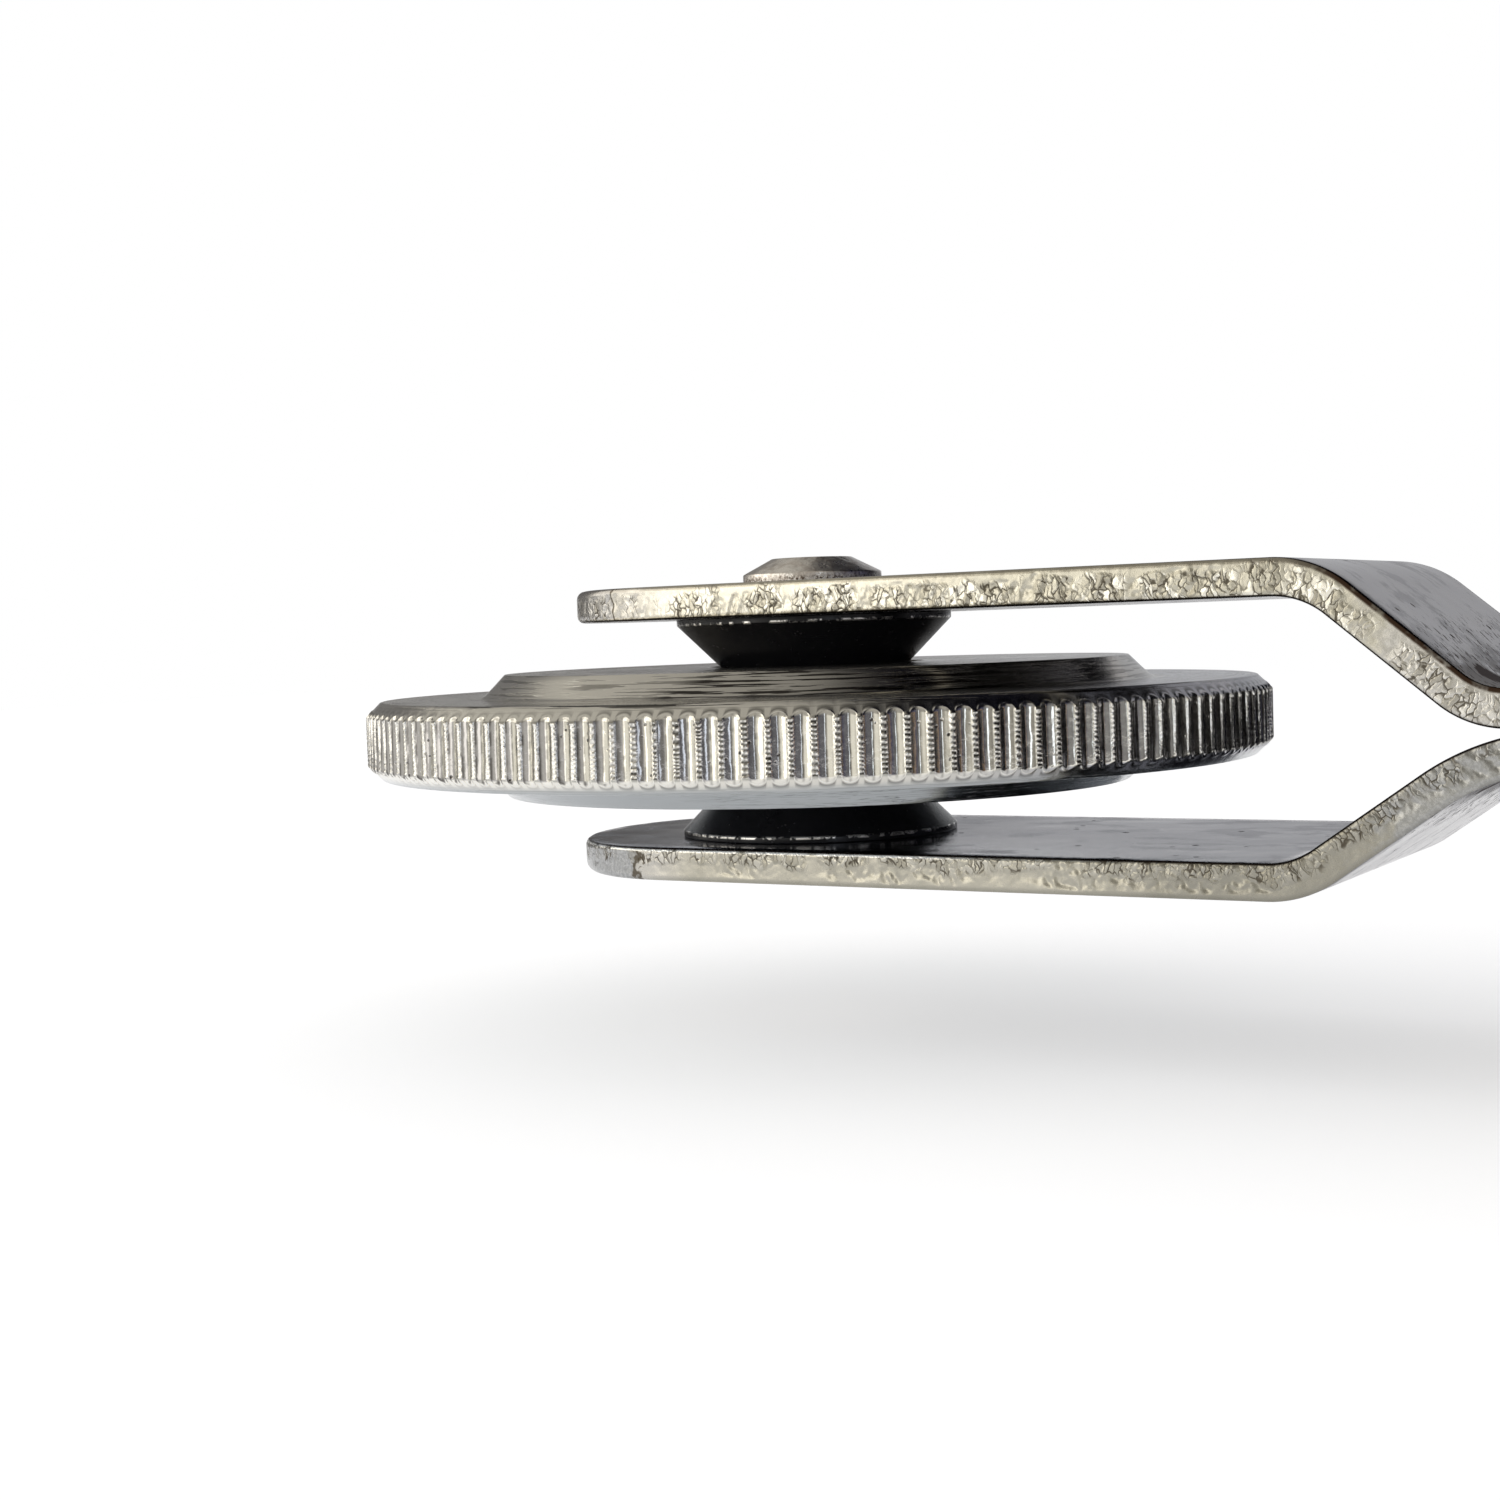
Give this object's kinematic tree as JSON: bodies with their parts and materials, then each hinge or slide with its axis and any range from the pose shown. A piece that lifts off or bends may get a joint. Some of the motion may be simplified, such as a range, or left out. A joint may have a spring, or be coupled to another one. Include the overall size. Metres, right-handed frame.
{
  "type": "stitching roller",
  "caption": "Hand-held seam roller: a knurled plated wheel turns on a ball bearing in a riveted fork of bent strip, with a ferrule and a turned wooden handle.",
  "frame": {"origin": "centre of the wheel, on its axle", "axes": "+Z along the axle, +X from the wheel towards the butt of the handle"},
  "size_m": [0.1747, 0.038, 0.025],
  "materials": {
    "wheel_plate": "turned and knurled, nickel plated",
    "strip_plate": "rolled strip, bright nickel plated, sheared edges",
    "black_steel": "glossy black oxide steel",
    "ball_steel": "polished",
    "rivet_steel": "bare, set by hammer",
    "ferrule_plate": "nickel plated tube",
    "varnished_wood": "turned and varnished"
  },
  "bodies": {
    "fork": {"upper_cone": "black_steel", "lower_cone": "black_steel", "axle_rivet": "rivet_steel", "upper_arm": "strip_plate", "lower_arm": "strip_plate", "neck_rivet": "rivet_steel", "ferrule": "ferrule_plate", "ferrule_pin": "rivet_steel", "handle": "varnished_wood"},
    "wheel": {"wheel": "wheel_plate"},
    "ball_ring": {"ball_1": "ball_steel", "ball_2": "ball_steel", "ball_3": "ball_steel", "ball_4": "ball_steel", "ball_5": "ball_steel", "ball_6": "ball_steel", "ball_7": "ball_steel"}
  },
  "joints": [
    {"name": "wheel_spin", "type": "hinge", "parent": "fork", "child": "wheel", "pos_m": [0, 0, 0], "axis": [0, 0, 1], "continuous": true},
    {"name": "ball_orbit", "type": "hinge", "parent": "fork", "child": "ball_ring", "pos_m": [0, 0, 0], "axis": [0, 0, 1], "continuous": true}
  ],
  "couplings": [
    {"joint": "ball_orbit", "follows": "wheel_spin", "ratio": 0.588}
  ]
}
